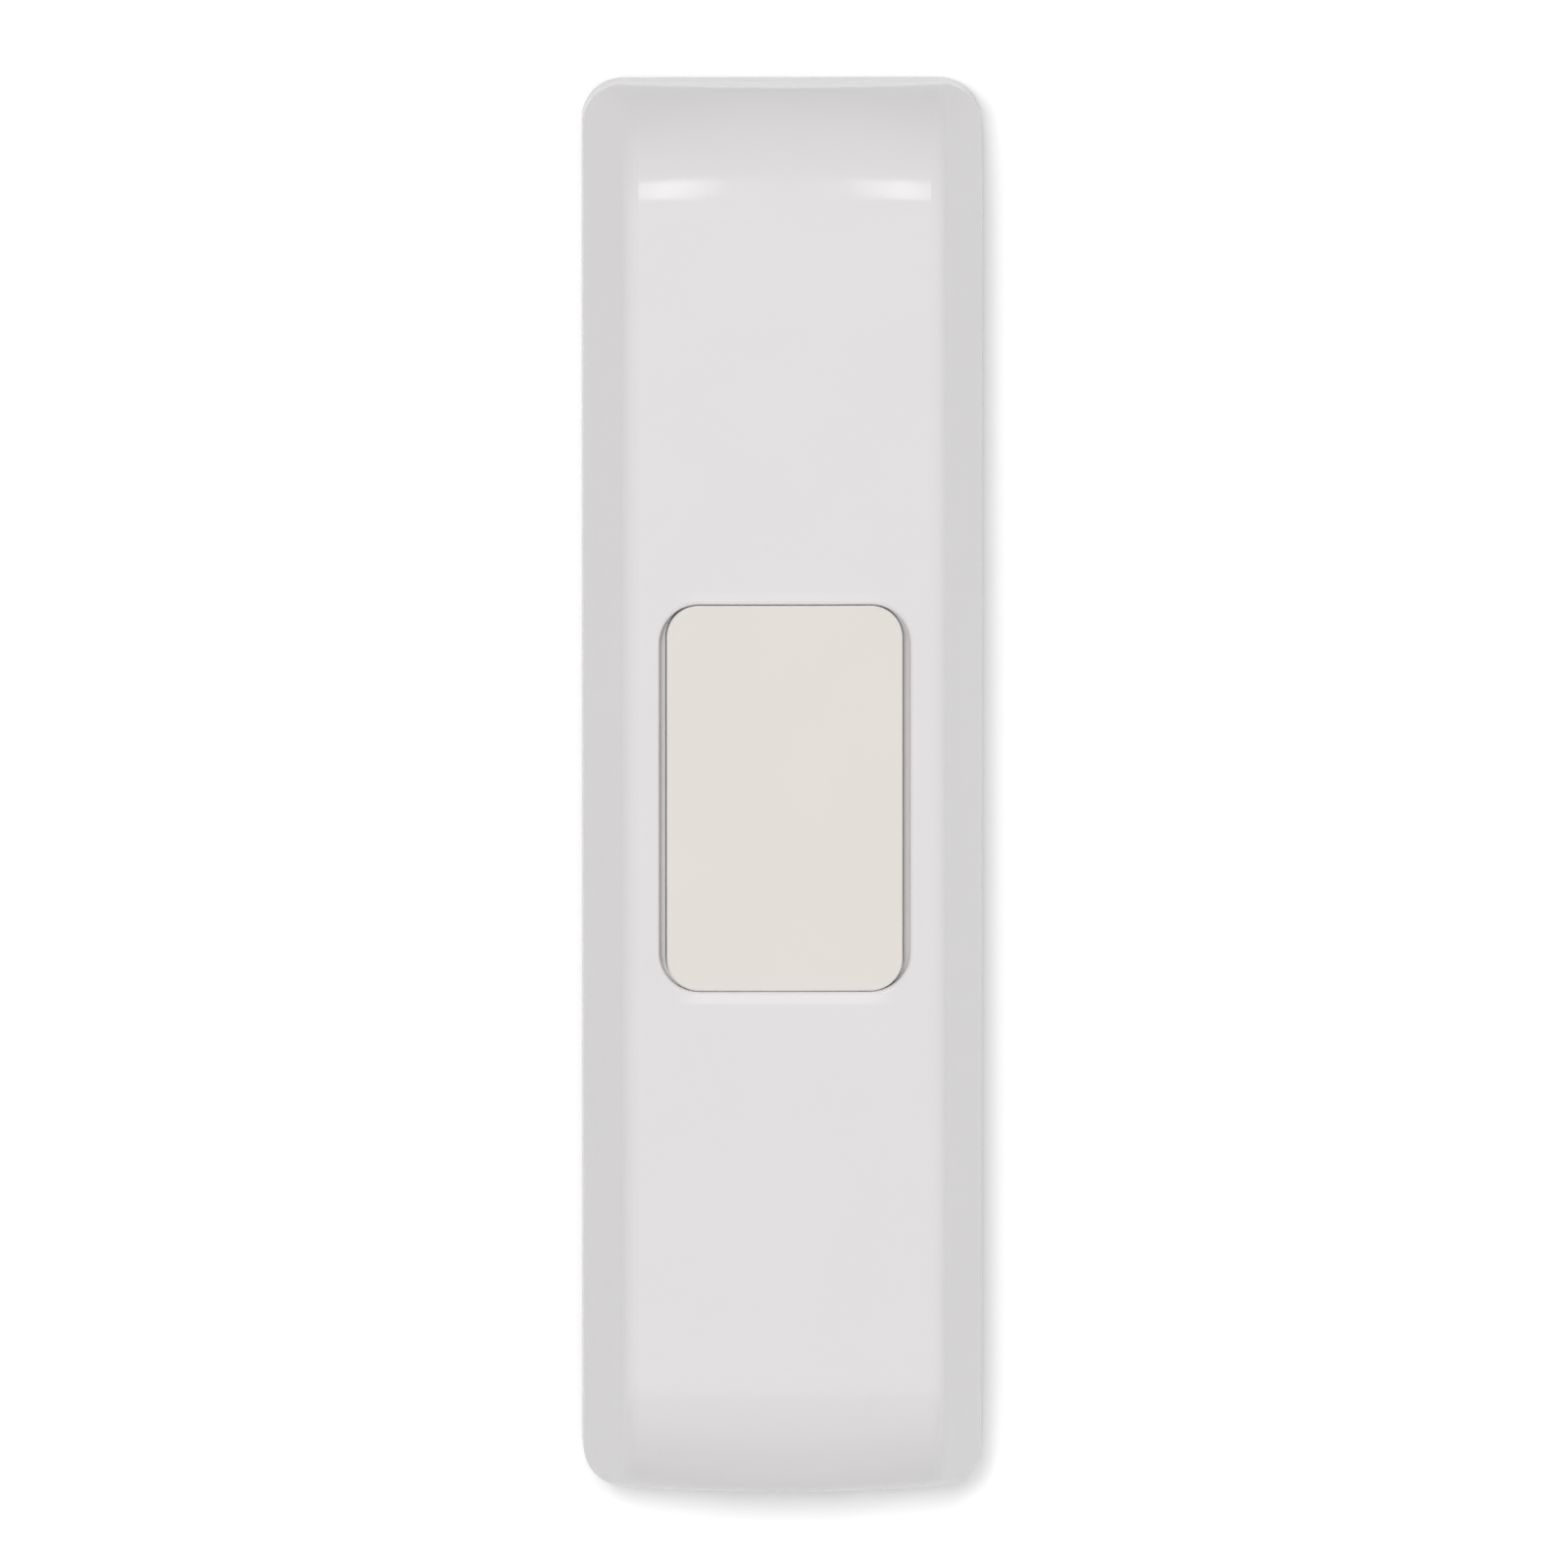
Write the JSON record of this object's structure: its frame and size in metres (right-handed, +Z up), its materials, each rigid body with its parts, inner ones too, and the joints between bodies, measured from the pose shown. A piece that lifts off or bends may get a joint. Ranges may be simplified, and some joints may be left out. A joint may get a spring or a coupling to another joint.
{
  "type": "wireless doorbell button",
  "caption": "Slim wall-mounted wireless doorbell button with a rounded white housing that pulls off, a large sprung push pad, a switch, a coin cell and a radio board.",
  "frame": {"origin": "middle of the rear plate's flat back, on the wall's surface", "axes": "+Z up along the housing's height, -Y out of the wall towards the visitor, +X to the visitor's right"},
  "size_m": [0.0294, 0.018, 0.104],
  "materials": {
    "housing_white": "satin injection-moulded white ABS",
    "button_white": "slightly warm translucent white plastic",
    "silicone": "grey silicone",
    "inner_plastic": "unpolished moulded plastic",
    "screw_steel": "zinc-plated steel",
    "spring_steel": "nickel-plated spring steel",
    "plate_white": "finely textured moulded plastic",
    "foam_tape": "foam tape with a paper liner",
    "board_green": "green solder mask over fibreglass",
    "black_plastic": "black moulded plastic",
    "bright_metal": "bright pressed steel",
    "plunger_plastic": "black plastic",
    "tinned_metal": "tinned metal",
    "cell_steel": "stainless steel cell case",
    "chip_black": "black epoxy",
    "copper_wire": "enamelled copper wire",
    "capacitor_can": "aluminium can",
    "led_lens": "tinted clear epoxy lens",
    "ceramic_tan": "ceramic"
  },
  "bodies": {
    "base": {"rear_plate": "plate_white", "adhesive_pads": "foam_tape", "circuit_board": "board_green", "board_screws": "screw_steel", "switch_body": "black_plastic", "switch_cover": "bright_metal", "switch_terminals": "tinned_metal", "battery_holder": "black_plastic", "coin_cell": "cell_steel", "negative_contact": "spring_steel", "positive_clip": "spring_steel", "transmitter_chip": "chip_black", "chip_leads": "tinned_metal", "crystal": "bright_metal", "antenna_coil": "copper_wire", "supply_capacitor": "capacitor_can", "status_led": "led_lens", "chip_resistors": "chip_black", "chip_capacitors": "ceramic_tan", "smd_terminals": "tinned_metal"},
    "cover": {"front_housing": "housing_white", "button_retainer": "inner_plastic", "retainer_screws": "screw_steel", "upper_spring": "spring_steel", "lower_spring": "spring_steel"},
    "button": {"push_button": "button_white", "button_gasket": "silicone"},
    "switch_plunger": {"switch_plunger": "plunger_plastic"}
  },
  "joints": [
    {"name": "cover_lift", "type": "slide", "parent": "base", "child": "cover", "axis": [0, -1, 0], "range_m": [0, 0.03]},
    {"name": "button_press", "type": "slide", "parent": "cover", "child": "button", "axis": [0, 1, 0], "range_m": [0, 0.0008], "stiffness_N_per_m": 3000, "springref_m": -0.0004, "deforming": ["upper_spring", "lower_spring"]},
    {"name": "plunger_press", "type": "slide", "parent": "base", "child": "switch_plunger", "axis": [0, 1, 0], "range_m": [0, 0.0008]}
  ],
  "couplings": [
    {"joint": "plunger_press", "follows": "button_press", "ratio": 1}
  ]
}
